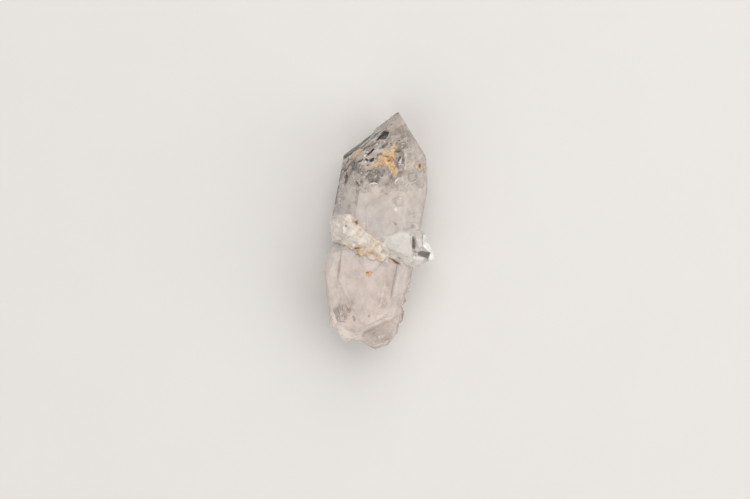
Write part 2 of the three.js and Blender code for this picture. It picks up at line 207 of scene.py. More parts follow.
quartz = {
    "ior": 1.544,
    "clearTint": (0.985, 0.965, 0.945),
    # shadeTint is the colour of painted shade in the clear glass
    "shadeTint": (0.048, 0.043, 0.040),
    "milkColour": (0.95, 0.87, 0.82),
    "milkCool": (0.90, 0.845, 0.815),
    "milkRose": (0.978, 0.81, 0.755),
    "beltColour": (0.99, 0.875, 0.805),
    "pointColour": (0.84, 0.75, 0.685),
    # whiteColour and whiteRose colour pale flaws and veils, and painted highlights
    "whiteColour": (0.985, 0.93, 0.885),
    "whiteRose": (0.99, 0.86, 0.80),
    "clayColour": (0.62, 0.41, 0.19),
    "clayPale": (0.87, 0.67, 0.45),
    "clayDark": (0.20, 0.10, 0.035),
    "absorbColour": (0.93, 0.90, 0.88),
    "absorbDensity": 4.0,
    "clearRough": (0.01, 0.07),
    "milkRough": 0.13,
    "beltRough": 0.38,
    "clayRough": 0.85,
    "scatter": 0.8,
    "scatterRadius": (1.0, 0.85, 0.8),
    "scatterReach": 2.4,  # millimetres
    "bodyMilk": (0.38, 0.64),  # thinnest and thickest milk in each part
    "blockMilk": (0.2, 0.62),
    "stepMilk": (0.12, 0.66),
    "tipMilk": (0.26, 0.34),
    "rightMilk": (0.43, 0.58),
    "beltMilk": (0.55, 0.82),
    "whiteMilk": 0.85,
    "sideShare": 0.62,  # how much of the milk is left down the sides
    "clayCover": 0.92,
    "deepCover": 0.95,
    "stepLean": -48,  # degrees that the growth steps are turned back to lie level
    "fleckSize": 0.62,
    "stepShade": 0.8,
    "tipShade": 0.22,
    "rippleStrength": 0.25,
    "rippleDepth": 0.05,  # millimetres
}

# What is seen on the front, in millimetres from the c axis. A mark is an oval: middle x and y,
# half length and half width, the turn of the long side in degrees, and how strong it is. A facet
# is a flat-sided patch: its corners, how strong it is and, where its rim is soft, how soft.
seen = {
    "shadedWindows": [  # windows and slots, painted shade: the clear glass is darkened where the quartz would show dark surroundings
        (-0.7, 21.8, 0.5, 0.16, 24, 0.8),
        (-1.1, 17.1, 0.95, 0.26, 52, 0.6),
        (1.9, 16.51, 0.83, 0.15, 15, 0.5),
        (2.3, 15.01, 0.76, 0.17, 83, 0.85),
        (3.15, 14.61, 1.02, 0.17, -88, 0.65),
        (2.47, 19.1, 1.09, 0.09, -80, 0.35),
        (1.5, 18.65, 0.84, 0.6, -72, 0.25),
        (-4.57, 18.43, 0.4, 0.2, 50, 0.6),
        (-5.25, 8.45, 0.6, 0.26, -47, 0.9),
        (-4.5, 8.9, 0.32, 0.38, 10, 0.7),
        (-4.9, 6.4, 0.75, 0.26, 86, 0.4),
        (-5.1, 4.4, 0.5, 0.4, 10, 0.3),
        (-6.05, 3.5, 0.4, 0.5, 10, 0.35),
        (-7.9, 11.5, 1.7, 0.12, 62, 0.9),
        (-6.15, 16.75, 3.0, 0.1, 46, 0.6),
        (-5.6, 16.45, 2.3, 0.1, 39, 0.6),
        (-4.85, 15.95, 1.9, 0.1, 43, 0.6),
        (1.6, 11.4, 0.5, 0.6, 10, 0.4),
        (7.5, 3.8, 0.3, 0.22, 10, 0.3),
        (7.75, 1.85, 0.45, 0.38, 10, 0.45),
        (-5.9, -0.65, 0.3, 0.22, 10, 0.5),
        (-5.85, -9.35, 2.4, 0.26, -87, 0.3),
        (4.4, -14.7, 0.9, 1.2, 10, 0.28),
        (-0.85, -19.25, 0.65, 0.22, -61, 0.55),
        (2.1, -18.1, 0.28, 0.32, 10, 0.4),
        (-1.75, -16.05, 0.36, 0.5, 10, 0.3),
        (-2.05, -17.4, 0.4, 0.4, 10, 0.3),
        (-3.05, -20.3, 0.85, 0.15, 3, 0.5),
        (3.8, -18.9, 2.2, 0.13, 36, 0.35),
    ],
    "shadedWindowFacets": [
        ([(-1.66, 20.33), (-3.13, 18.04), (-1.13, 18.6), (-0.65, 20.2)], 1.0),
        ([(-4.5, 14.65), (-4.16, 14.5), (-2.95, 15.93), (-3.22, 16.25)], 1.0),
        ([(-4.12, 13.14), (-3.89, 13.61), (-4.45, 13.8), (-4.7, 13.56)], 1.0),
        ([(-3.29, 13.23), (-2.73, 13.61), (-2.66, 14.34), (-3.42, 13.95), (-3.73, 13.32)], 0.9),
        ([(2.71, 13.78), (3.86, 13.78), (3.74, 15.02), (2.93, 16.55), (2.15, 16.2)], 0.3),
        ([(-5.69, 16.99), (-4.05, 19.03), (-4.47, 19.0), (-6.48, 16.67)], 0.8),
        ([(-7.74, 14.32), (-6.57, 16.02), (-7.0, 16.05), (-8.19, 14.45)], 0.6),
        ([(-4.47, 16.14), (-3.44, 17.45), (-3.72, 17.82), (-4.91, 16.27)], 0.6),
        ([(-6.77, 10.86), (-5.89, 11.23), (-6.01, 12.48), (-6.9, 13.26), (-7.48, 12.42)], 0.75, 0.4),
        ([(-8.06, 7.93), (-7.54, 8.03), (-7.26, 9.35), (-7.74, 10.22), (-8.26, 9.59)], 0.9, 0.3),
        ([(-5.11, 5.4), (-4.7, 5.48), (-4.49, 7.2), (-5.31, 7.05)], 0.3),
    ],
    # facets painted pale and milky as painted light: lit faces and reflections of lamps
    "litFacets": [
        ([(10.46, -1.93), (13.94, -4.14), (10.62, 0.91), (10.14, 0.34)], 1.0),
        ([(12.0, -4.39), (13.74, -4.49), (13.8, -4.0), (12.26, -2.81)], 1.0),
        ([(8.91, -1.26), (9.75, -2.38), (10.32, -1.74), (9.54, 1.34), (7.91, 0.99)], 0.55, 0.3),
        ([(7.92, -6.21), (9.15, -6.56), (13.73, -4.44), (9.7, -4.0), (7.84, -4.63)], 0.7, 0.3),
        ([(8.44, -5.58), (9.03, -5.05), (8.54, -4.4), (7.67, -4.88)], 1.0, 0.3),
        ([(4.39, -5.48), (7.29, -6.31), (9.3, -6.36), (8.49, -4.83), (5.59, -3.99),
          (3.48, -3.96)], 0.85, 0.5),
        ([(-2.91, -24.29), (-0.97, -24.46), (0.6, -22.69), (-2.25, -20.99), (-4.68, -21.02)], 0.95, 0.8),
        ([(-5.78, -19.28), (-4.37, -21.14), (-4.04, -20.65), (-5.56, -18.17), (-6.08, -18.27)], 0.85),
        ([(3.6, -5.9), (9.1, -6.7), (8.2, -2.44), (7.36, 1.3), (2.17, -1.46)], 0.68, 1.2),
    ],
    "figure": [  # the dark figure in the side crystal, painted shade in its clear point
        (8.95, -1.33, 1.33, 0.08, -63, 0.9),
        (8.79, -3.19, 0.51, 0.32, -13, 0.5),
        (9.09, -3.37, 0.45, 0.21, -6, 0.6),
        (9.3, -4.09, 0.43, 0.09, -46, 0.6),
        (7.37, -0.09, 0.18, 0.12, -81, 0.7),
        (7.53, 1.63, 0.43, 0.07, 53, 0.4),
        (8.12, 1.82, 0.38, 0.07, -23, 0.5),
        (10.14, -0.45, 1.4, 0.08, -80, 0.35),
    ],
    "figureFacets": [
        ([(9.71, -3.91), (11.97, -4.31), (12.29, -2.84), (10.26, -2.84), (9.49, -3.4)], 1.0),
        ([(8.21, -2.77), (8.93, -2.79), (8.84, -1.59), (8.16, -0.18), (7.86, -0.29)], 1.0, 0.2),
    ],
    "flawsAndGlints": [  # bright flaws and healed cracks, and bright rims that are painted highlights
        (2.6, 10.5, 0.8, 0.16, 65, 1.0),
        (2.69, 14.61, 0.79, 0.13, -89, 0.8),
        (3.8, 14.23, 1.66, 0.2, -82, 0.7),
        (3.68, 11.15, 0.73, 0.19, -75, 0.8),
        (4.61, 11.43, 0.83, 0.15, -81, 0.7),
        (6.22, 10.83, 0.67, 0.09, 33, 0.8),
        (5.37, 12.84, 0.7, 0.08, 28, 0.6),
        (-2.39, 16.88, 1.1, 0.15, 59, 0.7),
        (-3.52, 17.3, 0.84, 0.13, 40, 0.6),
        (-4.71, 14.34, 0.21, 0.23, -65, 0.9),
        (-5.15, 13.7, 0.1, 0.16, -10, 0.9),
        (-4.81, 10.74, 0.1, 0.16, -16, 0.9),
        (-9.2, 12.24, 1.26, 0.11, -88, 0.7),
        (0.3, 11.9, 0.5, 0.5, 10, 0.5),
        (-2.08, 8.96, 1.05, 0.13, 18, 0.9),
        (5.6, 10.6, 0.9, 0.15, 30, 0.5),
        (3.1, 13.9, 0.4, 0.16, 10, 0.7),
        (4.05, 7.05, 0.26, 0.26, 10, 0.9),
        (3.5, 4.5, 0.34, 0.38, 10, 1.0),
        (2.35, -1.45, 0.4, 0.36, 10, 0.9),
        (-1.05, 5.6, 1.7, 0.1, 45, 0.6),
        (1.2, -2.2, 2.9, 0.12, -46, 0.4),
        (4.4, 0.2, 2.5, 0.12, 35, 0.5),
        (-5.1, -12.7, 0.36, 0.7, 10, 0.6),
        (3.7, -18.3, 2.9, 0.42, 44, 0.75),
        (1.9, -23.4, 1.5, 0.16, -38, 0.6),
        (5.6, -23.6, 1.9, 0.14, 22, 0.7),
        (6.9, -20.6, 0.4, 0.22, 40, 0.5),
    ],
    "clay": [
        (-0.4, 14.7, 1.8, 1.3, 35, 1.0),
        (0.2, 13.9, 1.4, 1.2, 0, 0.9),
        (0.55, 16.3, 1.5, 0.6, 80, 1.0),
        (1.3, 12.9, 1.9, 0.75, -62, 1.0),
        (-2.0, 13.0, 1.6, 0.5, 20, 0.75),
        (-6.55, 14.45, 2.0, 0.36, 50, 0.75),
        (-4.9, 16.4, 0.9, 0.25, 50, 0.5),
        (6.7, 14.4, 0.55, 0.85, 10, 0.9),
        (-4.0, 0.35, 0.5, 0.8, 20, 0.85),
        (-5.0, 1.9, 0.9, 0.25, -10, 0.5),
        (-2.8, -4.85, 0.85, 0.35, 10, 1.0),
        (-2.1, -5.6, 0.9, 0.5, -20, 0.9),
        (0.1, -5.2, 0.9, 0.45, -15, 0.5),
        (0.9, -3.4, 0.6, 0.9, 10, 0.55),
        (2.2, -5.6, 0.35, 0.28, 10, 0.9),
        (0.3, -9.35, 0.75, 0.45, -5, 1.0),
        (-4.6, -4.7, 0.6, 0.22, 0, 0.6),
    ],
    "deepClay": [  # where the clay lies deep and dark
        (-0.4, 15.0, 0.6, 0.16, 2, 1.0),
        (0.3, 14.2, 0.35, 0.2, 40, 0.7),
        (6.75, 14.4, 0.24, 0.5, 10, 1.0),
        (-3.95, 0.4, 0.26, 0.42, 15, 1.0),
        (-2.8, -4.75, 0.6, 0.13, 8, 0.9),
        (5.35, -6.05, 1.55, 0.24, -21, 1.0),
        (0.15, -9.3, 0.3, 0.2, 10, 0.9),
    ],
    "rings": [  # rounded growth hollows, each a ring of painted shade about a paler middle
        (-2.4, 10.4, 1.6, 1.45, 10, 0.75),
        (1.75, 11.2, 0.9, 1.2, 10, 0.6),
        (5.6, 11.7, 1.2, 1.3, 10, 0.5),
        (0.25, 12.0, 0.65, 0.7, 10, 0.4),
        (3.8, 6.3, 0.95, 1.25, 10, 0.35),
        (-6.6, 11.9, 0.95, 1.2, 10, 0.45),
        (4.9, 15.9, 0.8, 1.0, 30, 0.3),
        (2.4, 18.3, 0.9, 1.2, 60, 0.3),
        (-0.4, -11.2, 0.7, 0.8, 60, 0.15),
    ],
    "beltTop": [  # the belt's upper edge, x and y
        (-11.2, 0.6), (-9.3, 1.05), (-5.3, 2.2), (-4.0, 0.65), (-1.7, -1.07), (2.4, -2.7),
        (5.0, -5.4),
    ],
    "beltFoot": [
        (-11.2, -4.0), (-7.9, -4.55), (-5.5, -4.55), (-3.9, -5.3), (-1.5, -6.5), (3.3, -6.55),
        (5.0, -6.6),
    ],
    "milkTop": [  # the line that the milk reaches up to
        (-9.5, 5.5), (-6.5, 8.2), (-3.0, 8.9), (1.0, 9.4), (5.0, 10.4), (9.5, 12.0),
    ],
}


def gather(skin, vector, marks, soft, facets=()):
    whole = skin.mark(vector, *marks[0], soft=soft)
    for mark in marks[1:]:
        whole = skin.most([whole, skin.mark(vector, *mark, soft=soft)])
    for facet in facets:
        whole = skin.most([whole, skin.facet(vector, *facet)])
    return whole


def quartzFinish():
    skin = Finish("quartz")
    spots = skin.spots()
    x, y, z = skin.parts(spots)
    wide = skin.cloud(spots, 5.0, 4, 0.6)
    middle = skin.cloud(spots, 2.0, 4, 0.6)
    fine = skin.cloud(spots, 0.8, 4, 0.6)
    grit = skin.cloud(spots, 0.28, 3, 0.7)
    sway = skin.node("TexNoise", {}, {"Vector": spots, "Scale": 1.1, "Detail": 3}, out=1)
    sway = skin.node("VectorMath", {"operation": "SUBTRACT"}, {0: sway, 1: (0.5, 0.5, 0.5)})
    small = skin.node("VectorMath", {"operation": "SCALE"}, {0: sway, "Scale": 0.55})
    large = skin.node("VectorMath", {"operation": "SCALE"}, {0: sway, "Scale": 1.8})
    near = skin.node("VectorMath", {"operation": "ADD"}, {0: spots, 1: small})
    bent = skin.node("VectorMath", {"operation": "ADD"}, {0: spots, 1: large})

    # growth steps that run with the left edge of the point, and the blocks beside them
    turned = skin.node("VectorRotate", {"rotation_type": "Z_AXIS"}, {
        "Vector": near, "Angle": math.radians(quartz["stepLean"])})
    streaks = skin.cloud(skin.node("VectorMath", {"operation": "MULTIPLY"}, {
        0: turned, 1: (0.3, 3.0, 0.5)}), 1.0, 2, 0.5)
    flat = skin.node("VectorMath", {"operation": "MULTIPLY"}, {0: turned, 1: (0.55, 1.0, 0.5)})
    block = skin.cells(flat, 1.25, out=1)
    fromEdge = (x + 9.4) * 0.743 - (y - 13.9) * 0.669
    steps = skin.ease(fromEdge + middle * 1.2 - 0.6, 2.7, 1.9) * skin.ease(y, 21.0, 19.8)

    # milk: cloudy below a wavering line, thin in the point
    bodyLine = skin.track(x, seen["milkTop"], -10, 20)
    body = skin.ease(bodyLine - y + middle * 9.0 - 4.5, -1.5, 2.2)
    bodyMilk = skin.ease(wide * 0.65 + middle * 0.25 + fine * 0.1, 0.34, 0.66, *quartz["bodyMilk"]) * body
    leftRim = skin.ease(x + y * 0.14, -6.4, -8.0) * skin.ease(y, 0.5, 2.5)
    bodyMilk = bodyMilk * (1 - leftRim * 0.45)
    stepMilk = skin.ease(streaks, 0.43, 0.56, *quartz["stepMilk"])
    blockMilk = skin.ease(block * 0.45 + fine * 0.55, 0.2, 0.75, *quartz["blockMilk"])
    point = blockMilk + (stepMilk - blockMilk) * steps
    tip = skin.ease(y, 19.6, 21.6) * skin.ease(fine, 0.3, 0.7, *quartz["tipMilk"])
    right = skin.ease(x - y * 0.06, 1.4, 3.6) * skin.ease(middle, 0.3, 0.7, *quartz["rightMilk"])
    milk = skin.most([bodyMilk, point * (1 - body), tip, right * (1 - body)])
    milk = milk * skin.ease(z, -2.5, 3.0, quartz["sideShare"], 1.0)  # glassier down the sides

    # clear parts: the side crystal's point, the lower left window and the right lobe
    sidePoint = skin.ease(x, 8.0, 8.9) * skin.ease(y, 1.8, 0.8)
    window = skin.mark(bent, -3.6, -18.4, 1.8, 1.7, 10, 1.0, soft=0.5)
    lobe = skin.ease(y - x * 0.72, -22.3, -22.9) * skin.ease(x, 1.2, 1.9)
    milk = milk * (1 - sidePoint * 0.55) * (1 - window * 0.65) * (1 - lobe * 0.35)

    # small flecks, some clear and some bright, in the point and down the left side
    fleckAt = skin.node("VectorMath", {"operation": "MULTIPLY"}, {0: turned, 1: (0.6, 1.2, 0.8)})
    fleck = skin.ease(skin.cells(fleckAt, quartz["fleckSize"]), 0.44, 0.26)
    chance = skin.cells(fleckAt, quartz["fleckSize"], out=1)
    busy = skin.most([(1 - body) * (1 - right * 0.9) * skin.ease(y, 21.0, 19.0), leftRim,
                      window * 0.8, lobe * 0.5])
    milk = milk * (1 - fleck * skin.ease(chance, 0.56, 0.6) * busy * 0.7)
    milk = skin.most([milk, fleck * skin.ease(chance, 0.36, 0.32) * busy * 0.8])

    belt = skin.ease(skin.track(x, seen["beltTop"], -10, 10) - y, -0.15, 0.2)
    belt = belt * skin.ease(y - skin.track(x, seen["beltFoot"], -10, 10), -0.2, 0.15)
    belt = belt * skin.ease(x, 4.6, 3.6)
    belt = belt * skin.ease(z + middle * 5.0 - 2.5, -3.2, 0.2)
    grain = skin.cells(near, 1.5, out=1)
    milk = skin.most([milk, belt * skin.ease(grain * 0.2 + fine * 0.8, 0.3, 0.7, *quartz["beltMilk"])])
    vein = skin.ease(skin.cells(near, 1.9, "DISTANCE_TO_EDGE"), 0.22, 0.02) * belt
    vein = vein * skin.ease(x, -8.5, -1.0, 0.1, 0.6) * skin.ease(middle, 0.4, 0.6)

    stepShade = skin.ease(streaks, 0.49, 0.41, 0.0, quartz["stepShade"]) * steps * skin.ease(y, 12.0, 13.6)
    # painted shade: windows, slots, steps and rings darken the clear glass
    shade = skin.most([stepShade, gather(skin, near, seen["shadedWindows"], 0.7, seen["shadedWindowFacets"])])
    ringGrain = skin.ease(fine, 0.3, 0.55, 0.35, 1.0)
    # each ring is painted shade about the rim of a growth hollow
    for atX, atY, long, short, turn, strength in seen["rings"]:
        outer = skin.mark(bent, atX, atY, long, short, turn, strength, soft=0.6)
        inner = skin.mark(bent, atX + 0.1, atY + 0.12, long * 0.55, short * 0.5, turn, 0.75, soft=0.9)
        shade = skin.most([shade, outer * (1 - inner) * ringGrain])
    # the figure is painted shade as well
    figure = gather(skin, spots, seen["figure"], 0.3, seen["figureFacets"])
    figure = figure * skin.ease(fine, 0.25, 0.6, 1.0, 0.88)
    # white: pale flaws and cracks together with painted highlights on rims and lit facets
    white = gather(skin, near, seen["flawsAndGlints"], 0.8, seen["litFacets"])
    white = white * skin.ease(middle, 0.3, 0.6, 0.6, 1.0)
    front = skin.ease(z, -0.8, 0.4)
    white = white * front * (1 - figure)
    shade = skin.most([shade, figure]) * (1 - white) * front
    shade = skin.most([shade, skin.ease(y, 18.6, 20.6, 0.0, quartz["tipShade"])])
    milk = skin.most([milk * (1 - shade * 0.95), white * quartz["whiteMilk"]])

    clay = gather(skin, bent, seen["clay"], 1.5)
    clay = skin.ease(clay + grit * 0.5 - 0.25, 0.12, 0.8)
    deep = gather(skin, near, seen["deepClay"], 0.8)

    # fine healed cracks
    crack = skin.cells(bent, 2.6, "DISTANCE_TO_EDGE")
    crack = skin.ease(crack, 0.035, 0.0) * skin.ease(fine, 0.42, 0.62)
    milk = skin.most([milk, crack * 0.75 * (1 - shade)])

    clay, deep = clay * front, deep * front
    # the clear glass, painted dark towards shadeTint wherever shade is painted
    clear = skin.node("BsdfPrincipled", {}, {
        "Base Color": skin.blend(shade, quartz["clearTint"], quartz["shadeTint"]),
        "Roughness": skin.ease(grit * 0.5 + fine * 0.5, 0.35, 0.75, *quartz["clearRough"]),
        "IOR": quartz["ior"], "Transmission Weight": 1.0,
        "Normal": reliefOf(skin, spots, fine)})
    tint = skin.blend(skin.ease(y, -4.0, -10.0), quartz["milkCool"], quartz["milkRose"])
    upward = skin.most([(1 - body) * skin.ease(y, 5.0, 9.0), skin.ease(y, 1.0, 8.0, 0.0, 0.6)])
    tint = skin.blend(upward, tint, quartz["pointColour"])
    tint = skin.blend(belt, tint, quartz["beltColour"])
    tint = skin.blend(vein, tint, quartz["clayPale"])
    # the colour of the white marks, painted highlights among them
    bright = skin.blend(skin.ease(y, -8.0, -16.0), quartz["whiteColour"], quartz["whiteRose"])
    tint = skin.blend(white, tint, bright)
    clayTint = skin.blend(skin.ease(grit, 0.35, 0.65), quartz["clayColour"], quartz["clayPale"])
    clayTint = skin.blend(deep, clayTint, quartz["clayDark"])
    cloudy = skin.node("BsdfPrincipled", {}, {
        "Base Color": skin.blend(skin.most([clay, deep]), tint, clayTint),
        "Roughness": skin.most([skin.ease(clay, 0.0, 1.0, quartz["milkRough"], quartz["clayRough"]),
                                belt * quartz["beltRough"]]),
        "IOR": quartz["ior"], "Subsurface Weight": quartz["scatter"],
        "Subsurface Radius": quartz["scatterRadius"], "Subsurface Scale": quartz["scatterReach"] * mm,
        "Normal": reliefOf(skin, spots, fine)})
    cover = skin.most([milk, clay * quartz["clayCover"], deep * quartz["deepCover"]])
    inside = skin.node("VolumeAbsorption", {}, {
        "Color": quartz["absorbColour"], "Density": quartz["absorbDensity"]})
    skin.show(skin.layer(cover, clear, cloudy), inside)
    return skin.material


def reliefOf(skin, spots, fine):  # growth ripples across the c axis, and light etching
    stretched = skin.node("VectorMath", {"operation": "MULTIPLY"}, {0: spots, 1: (0.12, 3.2, 0.12)})
    ripple = skin.cloud(stretched, 1.0, 3, 0.6)
    height = ripple * 0.6 + fine * 0.4
    return skin.node("Bump", {}, {
        "Height": height, "Strength": quartz["rippleStrength"], "Distance": quartz["rippleDepth"] * mm})


core = {
    "voxel": 0.42,  # all in millimetres but for the rounds and the shares
    "smoothRounds": 3,
    "depth": 0.55,  # how far it stays behind the surface
    "lump": 0.35,
    "cutHeight": 8.6,  # where the milk ends above the waist
    "cutSlope": 0.26,
    "cutLump": 2.6,
    "capHeight": 1.1,
    "rough": 0.75,
    "scatter": 0.7,
    "scatterReach": 1.8,
    "thinnest": 0.25,
}


def milkFinish():
    inside = Finish("milk")
    spots = inside.spots()
    wide = inside.cloud(spots, 3.2, 5, 0.6)
    fine = inside.cloud(spots, 0.8, 4, 0.65)
    tint = inside.blend(inside.ease(wide, 0.3, 0.7), quartz["milkColour"], quartz["milkCool"])
    solid = inside.node("BsdfPrincipled", {}, {
        "Base Color": tint, "Roughness": core["rough"], "Specular IOR Level": 0.0,
        "Subsurface Weight": core["scatter"], "Subsurface Radius": quartz["scatterRadius"],
        "Subsurface Scale": core["scatterReach"] * mm})
    gap = inside.node("BsdfTransparent", {}, {"Color": (1, 1, 1)})
    share = inside.ease(wide * 0.6 + fine * 0.4, 0.36, 0.58, core["thinnest"], 1.0)
    inside.show(inside.layer(share, gap, solid))
    return inside.material


growth = {
    "weld": 0.002,
    "flatAngle": 0.5,  # degrees, below which two faces are one
    "sharpAngle": 0.2,  # radians, above which an edge is worn round
    "edgeRound": 0.045,  # radius of the worn edges
    "edgeSteps": 2,
    "bandGap": (0.25, 1.1),  # spacing of the ripples across the c axis
    "bandFrom": -19.5,
    "bandTo": 16.5,
    "bandLean": 0.03,
    "bandDepth": 0.044,
    "restHeight": -7.2,  # the face that it lies on stays flat
    "seed": 7,
}


def outerCrystal(node):
    shape = bmesh.new()
    shape.from_mesh(node.data)
    bmesh.ops.remove_doubles(shape, verts=shape.verts, dist=growth["weld"] * mm)
    bmesh.ops.dissolve_limit(shape, angle_limit=math.radians(growth["flatAngle"]),
                             verts=shape.verts, edges=shape.edges)
    sharp = [e for e in shape.edges
             if len(e.link_faces) == 2 and e.calc_face_angle(0) > growth["sharpAngle"]]
    bmesh.ops.bevel(shape, geom=sharp, offset=growth["edgeRound"] * mm, segments=growth["edgeSteps"],
                    profile=0.6, affect="EDGES", clamp_overlap=False)
    print("edges rounded:", len(shape.faces), "faces")
    luck = random.Random(growth["seed"])
    height = growth["bandFrom"]
    lean = growth["bandLean"]
    while height < growth["bandTo"]:
        height += luck.uniform(*growth["bandGap"])
        tilt = Vector((luck.uniform(-lean, lean), 1, luck.uniform(-lean, lean)))
        bmesh.ops.bisect_plane(shape, geom=shape.verts[:] + shape.edges[:] + shape.faces[:],
                               plane_co=place(0, height, 0), plane_no=tilt)
    shape.normal_update()
    moves = []
    for v in shape.verts:
        spot = v.co / mm - axisPlace
        upright = all(abs(f.normal.y) < 0.2 for f in v.link_faces)
        if upright and spot.z > growth["restHeight"]:
            wave = noise.noise(Vector((spot.x * 0.05, spot.y * 1.9, spot.z * 0.05)))
            moves.append((v, v.normal * (-abs(wave) * growth["bandDepth"] * mm)))
    for v, move in moves:
        v.co += move
    mesh = bpy.data.meshes.new("quartz_crystal_surface")
    shape.to_mesh(mesh)
    shape.free()
    piece = bpy.data.objects.new("quartz_crystal_surface", mesh)
    bpy.context.collection.objects.link(piece)
    print("outer crystal:", len(mesh.polygons), "faces")
    return piece


def milkyCore(node):
    mesh = node.data.copy()
    piece = bpy.data.objects.new("milky_core", mesh)
    bpy.context.collection.objects.link(piece)
    remesh = piece.modifiers.new("remesh", "REMESH")
    remesh.mode = "VOXEL"
    remesh.voxel_size = core["voxel"] * mm
    evaluated = piece.evaluated_get(bpy.context.evaluated_depsgraph_get())
    solid = bpy.data.meshes.new_from_object(evaluated)
    piece.modifiers.clear()
    piece.data = solid
    shape = bmesh.new()
    shape.from_mesh(solid)
    for _ in range(core["smoothRounds"]):
        bmesh.ops.smooth_vert(shape, verts=shape.verts, factor=0.5, use_axis_x=True,
                              use_axis_y=True, use_axis_z=True)
    shape.normal_update()
    for v in shape.verts:
        spot = v.co / mm - axisPlace
        lump = noise.fractal(spot * 0.55, 0.8, 2.0, 3)
        v.co -= v.normal * (core["depth"] + core["lump"] * lump) * mm
    for v in shape.verts:
        spot = v.co / mm - axisPlace
        lumps = noise.fractal(Vector((spot.x * 0.42, 3.1, spot.z * 0.42)), 0.8, 2.0, 3)
        cut = core["cutHeight"] + core["cutSlope"] * spot.x + core["cutLump"] * lumps
        over = spot.y - cut
        if over > 0:
            cap = core["capHeight"]
            spot.y = cut + cap * (1 - math.exp(-over / cap))
            v.co = (spot + axisPlace) * mm
    shape.to_mesh(solid)
    shape.free()
    solid.shade_smooth()
    print("milky core:", len(solid.polygons), "faces")
    return piece


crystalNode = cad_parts["quartz_crystal"]
crystal = outerCrystal(crystalNode)
crystal.data.materials.append(quartzFinish())
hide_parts("quartz_crystal")
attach(crystal, "root")

milkBody = milkyCore(crystalNode)
milkBody.data.materials.clear()
milkBody.data.materials.append(milkFinish())
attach(milkBody, "root")

hollow = {
    "places": [  # centre, then half sizes
        ((-2.4, 10.4, 5.9), (1.5, 1.4, 0.45)),
        ((1.8, 11.3, 5.7), (0.9, 1.2, 0.4)),
        ((5.4, 11.8, 4.6), (1.1, 1.2, 0.4)),
        ((-5.6, 12.4, 4.6), (0.9, 1.2, 0.4)),
        ((1.6, 17.6, 4.2), (1.3, 0.6, 0.4)),
        ((-1.9, 18.9, 3.9), (1.3, 0.6, 0.35)),
    ],
    "lump": 0.16,
    "roundness": 4,  # how often the balls are divided
    "wallLight": (0.97, 0.96, 0.95),
    "wallDark": (0.80, 0.79, 0.78),
    "rough": 0.06,
}


def lumpyBall(shape, centre, radii):  # it faces inward, as the wall of an empty place
    made = bmesh.ops.create_icosphere(shape, subdivisions=hollow["roundness"], radius=1.0)["verts"]
    for v in made:
        swell = 1 + hollow["lump"] * noise.noise(v.co * 1.7 + centre * 0.9)
        v.co = (centre + axisPlace + Vector(a * b for a, b in zip(v.co * swell, radii))) * mm
    bmesh.ops.reverse_faces(shape, faces=list({f for v in made for f in v.link_faces}))


def newPiece(name, shape, material, smooth=True):
    mesh = bpy.data.meshes.new(name)
    shape.to_mesh(mesh)
    shape.free()
    if smooth:
        mesh.shade_smooth()
    mesh.materials.append(material)
    piece = bpy.data.objects.new(name, mesh)
    bpy.context.collection.objects.link(piece)
    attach(piece, "root")
    print(name + ":", len(mesh.polygons), "faces")
    return piece


def hollowFinish():
    inside = Finish("hollow_wall")
    fine = inside.cloud(inside.spots(), 0.5, 3)
    inside.show(inside.node("BsdfPrincipled", {}, {
        "Base Color": inside.blend(fine, hollow["wallLight"], hollow["wallDark"]),
        "Roughness": hollow["rough"], "IOR": quartz["ior"], "Transmission Weight": 1.0}))
    return inside.material


def growthHollows():
    shape = bmesh.new()
    for centre, radii in hollow["places"]:
        lumpyBall(shape, Vector(centre), radii)
    return newPiece("growth_hollows", shape, hollowFinish())


veil = {
    "places": [  # centre, half sizes, then the turns about x and z in degrees
        ((-4.6, 14.6, 4.2), (2.6, 1.1), (-35, 47)),
        ((-1.4, 15.8, 5.2), (2.0, 1.3), (-25, 50)),
        ((3.6, 15.2, 4.6), (1.6, 2.2), (30, 10)),
        ((2.2, 20.0, 2.4), (1.3, 1.6), (20, 30)),
        ((-6.4, 6.0, 2.8), (1.0, 2.8), (15, 0)),
        ((-3.9, -18.4, 4.0), (1.8, 1.6), (20, 10)),
        ((5.0, -21.0, 3.4), (2.2, 1.6), (-25, 25)),
        ((10.6, -2.6, 4.4), (1.1, 0.9), (30, -40)),
        ((6.2, 13.0, 0.0), (1.8, 2.4), (60, 20)),
        ((-3.2, 13.5, -2.6), (2.6, 2.0), (30, 40)),
        ((3.0, 16.0, -3.0), (2.2, 1.6), (-40, 10)),
    ],
    "wave": 0.28,
    "rows": (26, 20),
    "rough": 0.3,
    "thickest": 0.7,
}


def veilFinish():
    thin = Finish("healed_veil")
    spots = thin.spots()
    fine = thin.cloud(spots, 0.45, 4, 0.7)
    middle = thin.cloud(spots, 1.6, 3)
    white = thin.node("BsdfPrincipled", {}, {
        "Base Color": thin.blend(middle, quartz["whiteColour"], quartz["milkCool"]),
        "Roughness": veil["rough"]})
    gap = thin.node("BsdfTransparent", {}, {"Color": (1, 1, 1)})
    share = thin.ease(fine * 0.6 + middle * 0.4, 0.46, 0.62, 0.0, veil["thickest"])
    thin.show(thin.layer(share, gap, white))
    return thin.material


